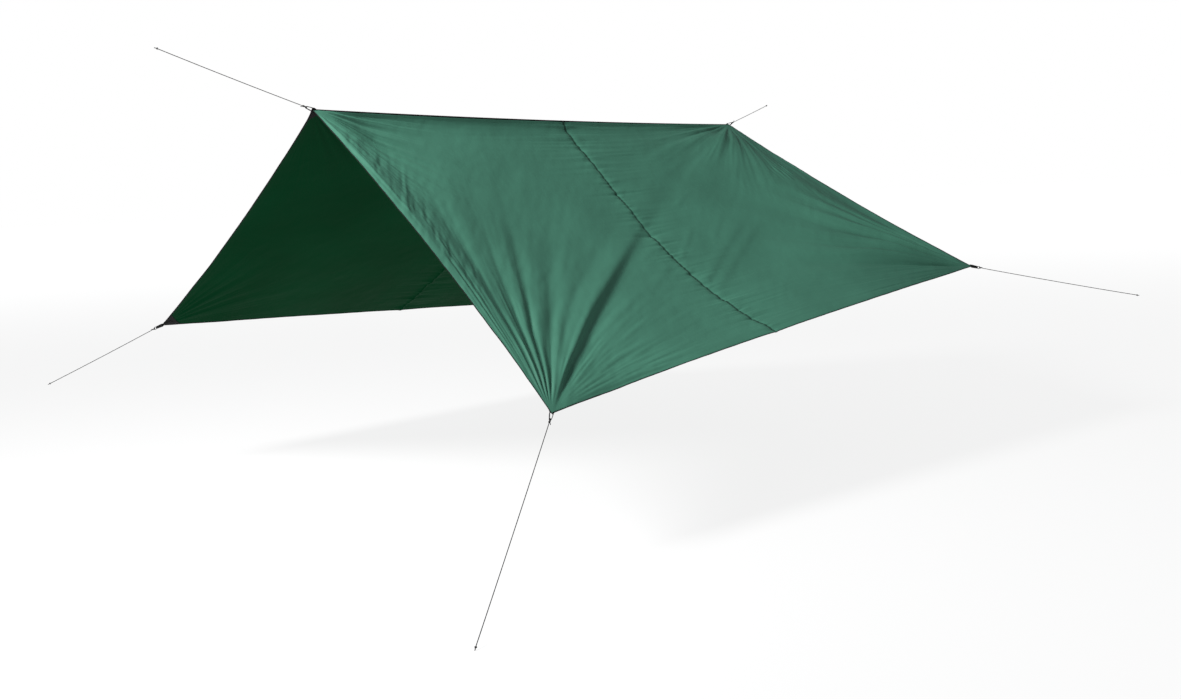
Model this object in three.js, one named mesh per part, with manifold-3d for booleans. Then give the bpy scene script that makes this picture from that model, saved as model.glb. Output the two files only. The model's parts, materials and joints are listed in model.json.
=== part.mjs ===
// An A-frame tarp shelter, pitched: a rectangle of coated cloth, made of two widths joined by a seam
// across its middle, hung by its ridge from two lines and held out at its corners by more lines.
//
// Millimetres, +Z up. The ridge runs along +Y from the origin, which is the front end of the ridge.
// The near side of the roof falls towards +X and the far side towards -X.
//
// A place on a side is given as the cloth was cut: `along` is the distance from the front edge,
// measured beside the ridge, and `down` is the distance from the ridge, measured down the slope.

import * as THREE from 'three';
import { mergeVertices } from 'three/addons/utils/BufferGeometryUtils.js';
import Module from 'manifold-3d';

const wasm = await Module();
wasm.setup();

const point = (x, y, z) => new THREE.Vector3(x, y, z);

// ---- driving dimensions ----

// The cloth, cut flat: 2.9 m along the ridge, 3.5 m from eave to eave.
const ridgeLength = 2900;
const slopeLength = 1750;

// Where the pitched cloth is held.
const ridgeFront = point(0, 0, 0);
const ridgeRear = point(0, 2900, -30);
const nearSide = {
  name: 'near',
  front: point(1265, 65, -1185),
  rear: point(1525, 2875, -850),
  belly: 136, // how far the middle of the side hangs inwards
  bellySkew: 0.26, // how much deeper it hangs towards the eave than towards the ridge
  eaveHollow: 18, // how far the eave curves in between its corners
  eaveDraw: 175, // how far pleats at the front corner draw the middle of the eave forwards
};
const farSide = {
  name: 'far',
  front: point(-1440, 0, -965),
  rear: point(-1365, 2865, -1095),
  belly: 60,
  bellySkew: 0,
  eaveHollow: 5,
  eaveDraw: 0,
};
// How far the sloping edges curve in between ridge and eave.
const frontHollow = 38;
const rearHollow = 55;

// Thicknesses stand in for cloth and tape that are a few tenths of a millimetre thick.
const clothThickness = 1.5;
const seamThickness = 2.5;
const bindingThickness = 2.5;
const patchThickness = 1.2;
const gap = 0.3; // between pieces that are sewn to each other

const seamAlong = 1500; // the front width is a full 1.5 m cloth, the rear one is cut to suit
const seamWidth = 14;
const bindingWidth = 8;
const ridgeTapeWidth = 16;
const ridgeTapeThickness = 2;
const cornerPatchLeg = 100;
const ridgePatchLeg = 60;
const ridgePatchStart = 40; // the patches leave the fold of the ridge free
const patchInset = 1; // from the edges of the cloth
const patchDrop = 4.2; // middle of the cloth to middle of a patch sewn under it

// Webbing loops, a tape standing on edge round an eye, with its tail sewn under the cloth.
const webbingWidth = 10;
const webbingThickness = 1.5;
const eyeRadius = 3.5; // inside the far end of the eye
const eyeReach = 26; // corner of the cloth to the middle of the eye's round end
const legSpread = 6.5; // half the distance between the legs where they meet the cloth
const legStart = 1; // clear of the cloth's corner
const loopFoot = 4; // tape that joins the legs at the cloth
const tailLength = 55;
const tailDrop = 6.2; // middle of the cloth to middle of the tail

// Guy lines.
const cordDiameter = 3;
const cordSides = 8;
const cordSteps = 16;
const roundSteps = 10; // facets of knots and of the loops' round ends
const hitchSteps = 20;
const hitchRadius = 7; // ring of cord through the eye
const hitchStretch = 1.36; // the ring is wider across the webbing
const hitchReach = 16.5; // middle of the eye's end to middle of the hitch's knot
const hitchKnotRadius = 5;
const endKnotRadius = 4.5;
const cordSag = 0.003; // of a line's length

// Each line: the loop it is tied to, and where its far end is held.
const lineEnds = {
  front_ridge: point(0, -670, 212),
  rear_ridge: point(15, 3265, 85),
  near_front: point(1700, -730, -1723),
  near_rear: point(2150, 3430, -1033),
  far_front: point(-1840, -420, -1233),
};

const material = (color, roughness) => new THREE.MeshStandardMaterial({ color, roughness, metalness: 0 });
const outerCloth = material(0x3f6f5a, 0.55);
const blackTape = material(0x111312, 0.8);
const blackCord = material(0x0c0d0d, 0.75);

const shelter = new THREE.Group();
shelter.name = 'tarp_shelter';

function addPiece(name, geometry, finish, place = new THREE.Matrix4()) {
  const mesh = new THREE.Mesh(geometry, finish);
  mesh.name = name;
  mesh.applyMatrix4(place);
  shelter.add(mesh);
}

// ---- the pitched cloth ----

const lerp = (a, b, t) => a.clone().lerp(b, t);

// Unit vector out of the roof, square to a side's mean plane.
function outwardOf(side) {
  const eaveMiddle = lerp(side.front, side.rear, 0.5);
  const slope = eaveMiddle.sub(lerp(ridgeFront, ridgeRear, 0.5));
  const ridge = ridgeRear.clone().sub(ridgeFront);
  const outward = ridge.cross(slope).normalize();
  return outward.z > 0 ? outward : outward.negate();
}

nearSide.outward = outwardOf(nearSide);
farSide.outward = outwardOf(farSide);

// A point of the cloth's middle surface.
function clothPoint(side, along, down) {
  const u = along / ridgeLength;
  const v = down / slopeLength;
  const lengthBow = 4 * u * (1 - u);
  const slopeBow = 4 * v * (1 - v);
  const hollow = frontHollow * (1 - u) - rearHollow * u;
  const belly = side.belly * (1 + side.bellySkew * (2 * v - 1)) * lengthBow * slopeBow;
  const uHeld = u + (hollow * slopeBow - side.eaveDraw * lengthBow * v * v) / ridgeLength;
  const vHeld = v * (1 - (side.eaveHollow / slopeLength) * lengthBow * v);
  const onRidge = lerp(ridgeFront, ridgeRear, uHeld);
  const onEave = lerp(side.front, side.rear, uHeld);
  return lerp(onRidge, onEave, vHeld).addScaledVector(side.outward, -belly);
}

function clothNormal(side, along, down) {
  const probe = 1;
  const a = clothPoint(side, along + probe, down).sub(clothPoint(side, along - probe, down));
  const d = clothPoint(side, along, down + probe).sub(clothPoint(side, along, down - probe));
  const normal = a.cross(d).normalize();
  return normal.dot(side.outward) > 0 ? normal : normal.negate();
}

// A point `lift` above the cloth's middle surface, or below it where lift is negative.
const liftedPoint = (side, along, down, lift) =>
  clothPoint(side, along, down).addScaledVector(clothNormal(side, along, down), lift);

// ---- closed solids ----

const mergeTolerance = 1e-4;

// Turns faces round if the body came out inside out.
function facingOut(geometry) {
  const { position } = geometry.attributes;
  const index = geometry.index.array;
  const [a, b, c] = [point(), point(), point()];
  let volume = 0;
  for (let i = 0; i < index.length; i += 3) {
    a.fromBufferAttribute(position, index[i]);
    b.fromBufferAttribute(position, index[i + 1]);
    c.fromBufferAttribute(position, index[i + 2]);
    volume += a.dot(b.cross(c));
  }
  if (volume < 0) {
    for (let i = 0; i < index.length; i += 3) [index[i], index[i + 1]] = [index[i + 1], index[i]];
  }
  geometry.computeVertexNormals();
  return geometry;
}

function indexedGeometry(points, index) {
  const geometry = new THREE.BufferGeometry().setFromPoints(points);
  geometry.setIndex(index);
  return facingOut(geometry);
}

// A slab between two sheets of points, pointAt(i, j, top) with i to iSteps and j to jSteps.
function slab(pointAt, iSteps, jSteps) {
  const points = [];
  for (const top of [true, false]) {
    for (let i = 0; i <= iSteps; i++) {
      for (let j = 0; j <= jSteps; j++) points.push(pointAt(i, j, top));
    }
  }
  const sheet = (iSteps + 1) * (jSteps + 1);
  const at = (i, j, top) => (top ? 0 : sheet) + i * (jSteps + 1) + j;
  const index = [];
  const quad = (a, b, c, d) => index.push(a, b, c, a, c, d);
  for (let i = 0; i < iSteps; i++) {
    for (let j = 0; j < jSteps; j++) {
      quad(at(i, j, true), at(i + 1, j, true), at(i + 1, j + 1, true), at(i, j + 1, true));
      quad(at(i, j, false), at(i, j + 1, false), at(i + 1, j + 1, false), at(i + 1, j, false));
    }
  }
  for (let i = 0; i < iSteps; i++) {
    quad(at(i, 0, true), at(i, 0, false), at(i + 1, 0, false), at(i + 1, 0, true));
    quad(at(i + 1, jSteps, true), at(i + 1, jSteps, false), at(i, jSteps, false), at(i, jSteps, true));
  }
  for (let j = 0; j < jSteps; j++) {
    quad(at(0, j + 1, true), at(0, j + 1, false), at(0, j, false), at(0, j, true));
    quad(at(iSteps, j, true), at(iSteps, j, false), at(iSteps, j + 1, false), at(iSteps, j + 1, true));
  }
  return indexedGeometry(points, index);
}

// Cloth or tape covering a rectangle of the flat cut, following the pitched surface.
function clothSlab(side, [alongFrom, alongTo], [downFrom, downTo], thickness, alongSteps, downSteps) {
  return slab(
    (i, j, top) => {
      const along = alongFrom + ((alongTo - alongFrom) * i) / alongSteps;
      const down = downFrom + ((downTo - downFrom) * j) / downSteps;
      return liftedPoint(side, along, down, top ? thickness / 2 : -thickness / 2);
    },
    alongSteps,
    downSteps,
  );
}

// A flat-cut outline, sewn under the cloth.
function underPatch(side, outline) {
  const points = [];
  for (const lift of [patchThickness / 2, -patchThickness / 2]) {
    for (const [along, down] of outline) points.push(liftedPoint(side, along, down, lift - patchDrop));
  }
  const count = outline.length;
  const index = [];
  const flat = outline.map((place) => new THREE.Vector2(...place));
  const clockwise = THREE.ShapeUtils.isClockWise(flat);
  for (const [a, b, c] of THREE.ShapeUtils.triangulateShape(flat, [])) {
    index.push(a, b, c, count + c, count + b, count + a);
  }
  for (let i = 0; i < count; i++) {
    const [from, to] = clockwise ? [i, (i + 1) % count] : [(i + 1) % count, i];
    index.push(from, to, count + to, from, count + to, count + from);
  }
  return indexedGeometry(points, index);
}

function manifoldOf(geometry) {
  const bare = new THREE.BufferGeometry().setAttribute('position', geometry.attributes.position.clone());
  if (geometry.index) bare.setIndex(geometry.index.clone());
  const merged = mergeVertices(bare, mergeTolerance);
  return new wasm.Manifold(
    new wasm.Mesh({
      numProp: 3,
      vertProperties: merged.attributes.position.array,
      triVerts: new Uint32Array(merged.index.array),
    }),
  );
}

function joined(...geometries) {
  const { vertProperties, triVerts } = geometries
    .map(manifoldOf)
    .reduce((whole, piece) => whole.add(piece))
    .getMesh();
  const geometry = new THREE.BufferGeometry();
  geometry.setAttribute('position', new THREE.BufferAttribute(vertProperties, 3));
  geometry.setIndex(new THREE.BufferAttribute(triVerts, 1));
  geometry.computeVertexNormals();
  return geometry;
}

// ---- cloth, seams and bindings ----

const ridgeClear = ridgeTapeWidth / 2 + gap;
const widthSteps = 12; // along the ridge, for each width of cloth
const slopeSteps = 14;

// Front and rear widths: from just inside the end binding to just short of the seam.
const frontWidth = [bindingWidth + gap, seamAlong - seamWidth / 2 - gap];
const rearWidth = [seamAlong + seamWidth / 2 + gap, ridgeLength - bindingWidth - gap];
const clothDown = [ridgeClear, slopeLength - bindingWidth - gap];

function addPanels(side) {
  for (const [end, along] of Object.entries({ front: frontWidth, rear: rearWidth })) {
    const panel = clothSlab(side, along, clothDown, clothThickness, widthSteps, slopeSteps);
    addPiece(`${end}_${side.name}_panel`, panel, outerCloth);
  }
}

function addSeam(side) {
  const across = [seamAlong - seamWidth / 2, seamAlong + seamWidth / 2];
  const seam = clothSlab(side, across, clothDown, seamThickness, 1, slopeSteps);
  addPiece(`${side.name}_centre_seam`, seam, outerCloth);
}

function addBindings(side) {
  const down = [slopeLength - bindingWidth, slopeLength];
  const between = [bindingWidth + gap, ridgeLength - bindingWidth - gap];
  const eave = clothSlab(side, between, down, bindingThickness, 2 * widthSteps, 1);
  addPiece(`${side.name}_eave_binding`, eave, blackTape);
  const ends = { front: [0, bindingWidth], rear: [ridgeLength - bindingWidth, ridgeLength] };
  for (const [end, along] of Object.entries(ends)) {
    const gable = clothSlab(side, along, [ridgeClear, slopeLength], bindingThickness, 1, slopeSteps);
    addPiece(`${end}_${side.name}_gable_binding`, gable, blackTape);
  }
}

function addPatches(side) {
  const ends = { front: (inset) => inset, rear: (inset) => ridgeLength - inset };
  for (const [end, along] of Object.entries(ends)) {
    const corner = [
      [along(patchInset), slopeLength - patchInset],
      [along(cornerPatchLeg), slopeLength - patchInset],
      [along(patchInset), slopeLength - cornerPatchLeg],
    ];
    addPiece(`${side.name}_${end}_corner_patch`, underPatch(side, corner), blackTape);
    const ridge = [
      [along(patchInset), ridgePatchStart],
      [along(ridgePatchLeg), ridgePatchStart],
      [along(patchInset), ridgePatchStart + ridgePatchLeg],
    ];
    addPiece(`${end}_ridge_${side.name}_patch`, underPatch(side, ridge), blackTape);
  }
}

// The ridge tape lies along the fold, where both sides meet.
function addRidgeTape() {
  const length = ridgeFront.distanceTo(ridgeRear);
  const tape = new THREE.BoxGeometry(length, ridgeTapeWidth, ridgeTapeThickness);
  const run = ridgeRear.clone().sub(ridgeFront).normalize();
  addPiece('ridge_tape', tape, blackTape, placing(lerp(ridgeFront, ridgeRear, 0.5), run, point(0, 0, 1)));
}

// ---- webbing loops and guy lines ----

// A frame at an anchor: `pull` points away from the cloth, `axis` runs through the eye.
function cornerAnchor(side, end) {
  const front = end === 'front';
  const corner = front ? side.front : side.rear;
  const along = front ? 0 : ridgeLength;
  const axis = clothNormal(side, along, slopeLength);
  const fromRidge = corner.clone().sub(front ? ridgeFront : ridgeRear).normalize();
  const fromOtherCorner = corner.clone().sub(front ? side.rear : side.front).normalize();
  const pull = fromRidge.add(fromOtherCorner).projectOnPlane(axis).normalize();
  return { corner, pull, axis, onRidge: false };
}

function ridgeAnchor(end, farEnd) {
  const corner = end === 'front' ? ridgeFront : ridgeRear;
  const pull = farEnd.clone().sub(corner).setX(0).normalize();
  return { corner, pull, axis: point(1, 0, 0), onRidge: true };
}

const anchors = {
  front_ridge: ridgeAnchor('front', lineEnds.front_ridge),
  rear_ridge: ridgeAnchor('rear', lineEnds.rear_ridge),
  near_front: cornerAnchor(nearSide, 'front'),
  near_rear: cornerAnchor(nearSide, 'rear'),
  far_front: cornerAnchor(farSide, 'front'),
  far_rear: cornerAnchor(farSide, 'rear'),
};

// Matrix with x along the pull, y across it in the loop's plane and z along the eye's axis.
function placing(origin, pull, axis) {
  const z = axis.clone().projectOnPlane(pull).normalize();
  const y = z.clone().cross(pull);
  return new THREE.Matrix4().makeBasis(pull, y, z).setPosition(origin);
}

const eyeOf = ({ corner, pull }) => corner.clone().addScaledVector(pull, eyeReach);

// The tape's outline from the side: two legs and the round end of the eye.
function loopOutline() {
  const outer = eyeRadius + webbingThickness;
  const lean = Math.atan2(legSpread - eyeRadius, eyeReach - legStart);
  const turn = Math.PI / 2 - lean;
  const shape = new THREE.Shape();
  shape.moveTo(legStart, -legSpread - webbingThickness);
  shape.absarc(eyeReach, 0, outer, -turn, turn, false);
  shape.lineTo(legStart, legSpread + webbingThickness);
  shape.lineTo(legStart, legSpread);
  shape.absarc(eyeReach, 0, eyeRadius, turn, -turn, true);
  shape.lineTo(legStart, -legSpread);
  return shape;
}

// A corner loop's tail, sewn under the cloth, and the turn of tape that joins it to the eye.
function cornerTail(width) {
  const foot = new THREE.BoxGeometry(loopFoot, width, tailDrop);
  foot.translate(legStart + loopFoot / 2, 0, -(tailDrop + webbingThickness) / 2);
  const tail = new THREE.BoxGeometry(tailLength + loopFoot, width, webbingThickness);
  tail.translate((loopFoot - tailLength) / 2, 0, -tailDrop);
  return [foot, tail];
}

// A ridge loop is closed by the end of the ridge tape's webbing, folded across its legs.
function ridgeFold(width) {
  const fold = new THREE.BoxGeometry(loopFoot, width, webbingWidth);
  fold.translate(legStart + loopFoot / 2, 0, 0);
  return [fold];
}

function addLoop(name, anchor) {
  const eye = new THREE.ExtrudeGeometry(loopOutline(), {
    depth: webbingWidth,
    bevelEnabled: false,
    curveSegments: roundSteps,
  });
  eye.translate(0, 0, -webbingWidth / 2);
  const width = 2 * (legSpread + webbingThickness);
  const fixing = anchor.onRidge ? ridgeFold(width) : cornerTail(width);
  const loop = joined(eye, ...fixing);
  addPiece(`${name}_loop`, loop, blackTape, placing(anchor.corner, anchor.pull, anchor.axis));
}

const knotBall = (radius) => new THREE.SphereGeometry(radius, roundSteps, roundSteps);

// A ring of cord through the eye, closed by its knot.
function hitchGeometry() {
  const ring = new THREE.TorusGeometry(hitchRadius, cordDiameter / 2, cordSides, hitchSteps);
  ring.rotateX(Math.PI / 2);
  ring.scale(1, 1, hitchStretch);
  ring.translate(hitchRadius, 0, 0);
  const knot = knotBall(hitchKnotRadius).translate(hitchReach, 0, 0);
  return joined(ring, knot);
}

// A taut line's middle, with the little sag that its own weight gives it.
function linePoints(from, to) {
  const sag = cordSag * from.distanceTo(to);
  const points = [];
  for (let i = 0; i <= cordSteps; i++) {
    const t = i / cordSteps;
    points.push(lerp(from, to, t).addScaledVector(point(0, 0, -4 * t * (1 - t)), sag));
  }
  return points;
}

function tube(points) {
  const section = new THREE.Shape();
  for (let i = 0; i < cordSides; i++) {
    const angle = (2 * Math.PI * i) / cordSides;
    const [x, y] = [Math.cos(angle) * (cordDiameter / 2), Math.sin(angle) * (cordDiameter / 2)];
    if (i === 0) section.moveTo(x, y);
    else section.lineTo(x, y);
  }
  return new THREE.ExtrudeGeometry(section, {
    steps: cordSteps,
    extrudePath: new THREE.CatmullRomCurve3(points),
  });
}

function addLine(name, anchor, farEnd) {
  const eye = eyeOf(anchor);
  const pull = farEnd.clone().sub(eye).normalize();
  addPiece(`${name}_hitch`, hitchGeometry(), blackCord, placing(eye, pull, anchor.axis));
  const start = eye.clone().addScaledVector(pull, hitchReach + hitchKnotRadius + gap);
  const finish = farEnd.clone().addScaledVector(pull, -endKnotRadius - gap);
  addPiece(`${name}_line`, tube(linePoints(start, finish)), blackCord);
  addPiece(`${name}_end_knot`, knotBall(endKnotRadius), blackCord, placing(farEnd, pull, anchor.axis));
}

for (const side of [nearSide, farSide]) {
  addPanels(side);
  addSeam(side);
  addBindings(side);
  addPatches(side);
}
addRidgeTape();
for (const [name, anchor] of Object.entries(anchors)) addLoop(name, anchor);
for (const [name, farEnd] of Object.entries(lineEnds)) addLine(name, anchors[name], farEnd);

export default shelter;
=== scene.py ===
import json
import math

import bmesh
import bpy
import numpy as np
from mathutils import Matrix, Vector


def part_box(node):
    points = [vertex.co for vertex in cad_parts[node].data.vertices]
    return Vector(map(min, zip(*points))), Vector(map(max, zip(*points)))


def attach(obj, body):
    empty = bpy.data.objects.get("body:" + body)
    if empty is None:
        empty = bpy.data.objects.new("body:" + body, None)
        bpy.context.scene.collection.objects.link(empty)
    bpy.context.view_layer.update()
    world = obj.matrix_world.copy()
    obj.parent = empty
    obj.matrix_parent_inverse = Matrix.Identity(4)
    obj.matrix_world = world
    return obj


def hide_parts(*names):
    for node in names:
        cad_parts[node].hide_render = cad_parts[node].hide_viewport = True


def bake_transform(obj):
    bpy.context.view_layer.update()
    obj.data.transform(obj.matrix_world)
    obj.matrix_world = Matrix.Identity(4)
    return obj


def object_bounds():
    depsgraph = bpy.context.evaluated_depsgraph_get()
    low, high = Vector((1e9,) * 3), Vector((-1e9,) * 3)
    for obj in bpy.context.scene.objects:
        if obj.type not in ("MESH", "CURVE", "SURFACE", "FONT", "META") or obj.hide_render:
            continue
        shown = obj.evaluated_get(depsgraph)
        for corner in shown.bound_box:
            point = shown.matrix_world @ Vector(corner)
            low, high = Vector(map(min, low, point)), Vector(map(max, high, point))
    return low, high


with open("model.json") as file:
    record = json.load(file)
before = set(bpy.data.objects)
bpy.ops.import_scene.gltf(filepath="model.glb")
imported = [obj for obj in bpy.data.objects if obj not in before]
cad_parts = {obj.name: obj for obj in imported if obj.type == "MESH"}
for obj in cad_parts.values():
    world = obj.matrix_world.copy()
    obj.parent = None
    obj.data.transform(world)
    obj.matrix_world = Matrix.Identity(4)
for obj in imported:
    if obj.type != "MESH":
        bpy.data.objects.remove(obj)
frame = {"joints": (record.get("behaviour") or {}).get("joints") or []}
cad_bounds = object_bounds()
joints = {joint["name"]: joint for joint in frame["joints"]}

# The tarp shelter as it is pitched, in metres. The ridge runs along +Y from the origin.
# A place on a side of the cloth is given as it was cut: `along` from the front edge, beside the
# ridge, and `down` from the ridge, down the slope.

# ---- driving dimensions, as in the CAD ----

RIDGE_LENGTH = 2.9
SLOPE_LENGTH = 1.75
RIDGE_FRONT = np.array((0.0, 0.0, 0.0))
RIDGE_REAR = np.array((0.0, 2.9, -0.03))
RIDGE_SAG = 0.012
FRONT_HOLLOW = 0.038
REAR_HOLLOW = 0.055
SEAM_ALONG = 1.5
CORD_DIAMETER = 0.003
CORD_SAG = 0.003  # of a line's length

# Each side is stretched between the ridge and its two corners. Its belly hangs inwards, more towards
# the eave if it is skewed; its eave curves in by the hollow, and is drawn towards the front.
NEAR = {
    "name": "near",
    "front": np.array((1.265, 0.065, -1.185)),
    "rear": np.array((1.525, 2.875, -0.850)),
    "belly": 0.136,
    "belly_skew": 0.26,
    "eave_hollow": 0.018,
    "eave_draw": 0.175,
}
FAR = {
    "name": "far",
    "front": np.array((-1.440, 0.0, -0.965)),
    "rear": np.array((-1.365, 2.865, -1.095)),
    "belly": 0.060,
    "belly_skew": 0.0,
    "eave_hollow": 0.005,
    "eave_draw": 0.0,
}

CLOTH_THICKNESS = 0.0008
BINDING_WIDTH = 0.0075  # underneath
OUTER_FLAP = 0.0022  # of the binding, on the outer face
RIDGE_TAPE_FLAP = 0.006
RIDGE_TAPE_THICKNESS = 0.0011
SEAM_WIDTH = 0.013
SEAM_STITCHING = 0.0034  # from the middle of the seam to each row
STITCH_PITCH = 0.0045
STITCH_RADIUS = 0.0004
CORNER_PATCH_LEG = 0.100
RIDGE_PATCH_LEG = 0.060
PATCH_INSET = 0.004
PATCH_TOP = -0.0009  # from the middle of the cloth, as are the next two
PATCH_UNDERSIDE = -0.0020
PATCH_STITCHING = -0.0022

WEBBING_WIDTH = 0.010
WEBBING_THICKNESS = 0.0015
EYE_REACH = 0.026
EYE_RADIUS = 0.0035
CORNER_TAIL = 0.055  # of webbing, sewn under a corner
RIDGE_TAIL = 0.022
BARTACK_DEPTH = -0.0033  # from the middle of the cloth

KNOT_CORD_RADIUS = 0.45 * CORD_DIAMETER  # a cord pulled tight in a knot is thinner
HITCH_WRAPS = 3
WRAP_RADIUS = 0.0027
WRAP_PITCH = 0.0027

# Places of the canopy's grid lines: (from, to, step). They are close where the wrinkles are fine.
GRID_ALONG = (
    (0, 0.12, 0.003), (0.12, 0.3, 0.005), (0.3, 0.6, 0.009), (0.6, 1.42, 0.017), (1.42, 1.58, 0.008),
    (1.58, 2.35, 0.018), (2.35, 2.62, 0.008), (2.62, 2.9, 0.004),
)
GRID_DOWN = ((0, 0.15, 0.004), (0.15, 1.4, 0.0065), (1.4, 1.75, 0.004))

LINES = ("front_ridge", "rear_ridge", "near_front", "near_rear", "far_front")


# ---- camera ----

def add_camera():
    """The viewing angle: from the front and the near side, just above the eaves."""
    azimuth, elevation, roll = (math.radians(a) for a in (43.286, 7.194, -2.518))
    back = Vector((
        math.sin(azimuth) * math.cos(elevation),
        -math.cos(azimuth) * math.cos(elevation),
        math.sin(elevation),
    ))
    level = Vector((math.cos(azimuth), math.sin(azimuth), 0))
    upright = back.cross(level)
    right = math.cos(roll) * level + math.sin(roll) * upright
    up = math.cos(roll) * upright - math.sin(roll) * level
    camera = bpy.data.objects.new("camera", bpy.data.cameras.new("camera"))
    bpy.context.scene.collection.objects.link(camera)
    camera.matrix_world = Matrix((right, up, back)).transposed().to_4x4()
    camera.location = (4.3883, -3.0292, -0.4019)
    camera.data.lens = 37.43
    camera.data.sensor_width = 36
    camera.data.clip_end = 1000
    bpy.context.scene.camera = camera


# ---- small helpers ----

def unit(v):
    """The same directions with a length of 1."""
    v = np.asarray(v, float)
    return v / np.linalg.norm(v, axis=-1, keepdims=True)


def smooth(t):
    """Rises from 0 to 1 as t does, and is level at both ends and beyond."""
    t = np.clip(t, 0, 1)
    return t * t * (3 - 2 * t)


def through(points, x):
    """A smooth curve that passes level through each of the points (x, y)."""
    points = sorted(points)
    xs = np.array([p[0] for p in points], float)
    ys = np.array([p[1] for p in points], float)
    k = np.clip(np.searchsorted(xs, x, side="right") - 1, 0, len(xs) - 2)
    return ys[k] + (ys[k + 1] - ys[k]) * smooth((x - xs[k]) / (xs[k + 1] - xs[k]))


def noise(x, y, seed):
    """Smooth noise from -1 to 1, with one lump to each unit of x and y."""
    size = 97
    lattice = np.random.default_rng(seed).uniform(-1, 1, (size, size))
    column, row = np.floor(x).astype(int), np.floor(y).astype(int)
    next_column, next_row = (column + 1) % size, (row + 1) % size
    right, above = smooth(x - column), smooth(y - row)
    column, row = column % size, row % size
    low = lattice[column, row] * (1 - right) + lattice[next_column, row] * right
    high = lattice[column, next_row] * (1 - right) + lattice[next_column, next_row] * right
    return low * (1 - above) + high * above


# ---- the wrinkles of the cloth ----

# Pleats that run out from a held corner: (degrees from the eave or the ridge, share of the height).
NEAR_FRONT_PLEATS = (
    (0, 0), (18, 0.3), (29, 0), (38.5, -0.4), (43, 1), (48, -1), (53.5, 1.1), (58, -1), (61.5, 1),
    (66, -0.9), (71, 0.8), (75, -0.7), (79, 0.4), (83, -0.5), (90, 0),
)
NEAR_REAR_PLEATS = (
    (0, 0), (14, 0.5), (21, 0.5), (30, -1.3), (39, 1.1), (44, -0.2), (51.5, 0.8), (58.5, -1.2),
    (65, 1.2), (69.5, -0.5), (73, 0.7), (76.5, -0.6), (80, 0.6), (85, -0.5), (90, 0),
)
FRONT_RIDGE_PLEATS = (
    (0, 0), (6, -0.4), (10, 0.5), (15, -0.7), (24, 0.8), (30, -1), (34.5, 1), (38.5, -0.9), (41.5, 0.9),
    (45, -0.8), (52, 0.6), (57, -0.6), (61, 0.6), (68, -0.4), (78, 0.3), (90, 0),
)
REAR_RIDGE_PLEATS = (
    (0, 0), (5, -0.6), (10.3, 1), (14.3, -0.7), (18.3, 1), (26, -0.5), (36, 0.9), (42, -0.5), (50, 0.5),
    (56, -0.5), (63, 0.4), (69, -0.3), (76, 0.3), (83, -0.2), (90, 0),
)
FINE_PLEATS = 0.0050  # most height that fine pleats go by, as the grid can't hold steeper ones

# Folds of the near side: from, to, (width at the start, at the end, factor above the line), height.
NEAR_FOLDS = (
    ((1.35, 0.90), (2.45, 0.20), (0.050, 0.060, 1.3), -0.0040),
    ((1.55, 1.05), (1.83, 0.82), (0.012, 0.014, 1.5), 0.0022),
    ((1.50, 1.27), (2.22, 0.83), (0.020, 0.030, 1.8), 0.0042),
    ((1.52, 1.34), (2.30, 0.88), (0.020, 0.026, 1.8), 0.0036),
    ((1.84, 0.98), (2.08, 0.78), (0.012, 0.012, 1.5), 0.0016),
    ((1.10, 1.26), (1.50, 1.04), (0.020, 0.020, 1.8), 0.0024),
    ((1.28, 1.02), (1.50, 0.92), (0.016, 0.016, 1.8), 0.0016),
    ((1.80, 0.69), (2.05, 0.56), (0.010, 0.010, 1.5), 0.0012),
    ((0.60, 0.74), (1.15, 0.20), (0.030, 0.050, 1.5), 0.0012),
)


def fan(x, y, pleats, height, peak, seed):
    """Pleats from a corner at x = y = 0. They are highest at `peak` metres and die away beyond it."""
    r = np.hypot(x, y) + 1e-6
    angle = np.degrees(np.arctan2(y, x))
    wander = 0.7 * noise(r / 0.25, angle / 25, seed) + 0.25 * noise(r / 0.06, angle / 9, seed + 1)
    strength = 1 + 0.35 * noise(r / 0.2, angle / 7, seed + 2)
    fade = (r / peak) * np.exp(1 - r / peak)
    fade = np.where(r < peak, fade * smooth(r / 0.16), fade**2)
    fine = 0.42 * noise(angle / 1.3, r / 0.30, seed + 3)
    fine += 0.20 * noise(angle / 0.6, r / 0.15, seed + 4)
    fine *= min(height, FINE_PLEATS) * smooth(r / 0.4)
    return (height * through(pleats, angle + wander) + fine) * fade * strength


def beside_run(x, y, start, end):
    """How far places are along the run from start to end, as a share of it, and how far below it."""
    run = np.subtract(end, start)
    length = math.hypot(*run)
    share = ((x - start[0]) * run[0] + (y - start[1]) * run[1]) / length**2
    below = ((x - start[0]) * -run[1] + (y - start[1]) * run[0]) / length
    return share, below


def tension_fold(x, y, start, end, height, ease):
    """A fold with a gentle flank above its run, a steep one below it, and a hollow beyond that."""
    share, below = beside_run(x, y, start, end)
    below = below / (0.30 + 0.70 * smooth(share / 0.45))  # it is narrower near its start
    shape = through(((-0.13, 0), (-0.018, 1), (0.034, -0.55), (0.15, 0)), below)
    shape = np.where(np.abs(below + 0.01) < 0.14, shape, 0)
    return height * shape * smooth(share / ease[0]) * smooth((1 - share) / ease[1])


def fold(x, y, start, end, width, height, ease=(0.1, 0.35)):
    """One rounded fold. width is (at the start, at the end, factor above the line)."""
    share, below = beside_run(x, y, start, end)
    half = width[0] + (width[1] - width[0]) * np.clip(share, 0, 1)
    half = half * np.where(below < 0, width[2], 1)
    shape = np.exp(-((below / half) ** 2))
    return height * shape * smooth(share / ease[0]) * smooth((1 - share) / ease[1])


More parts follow.
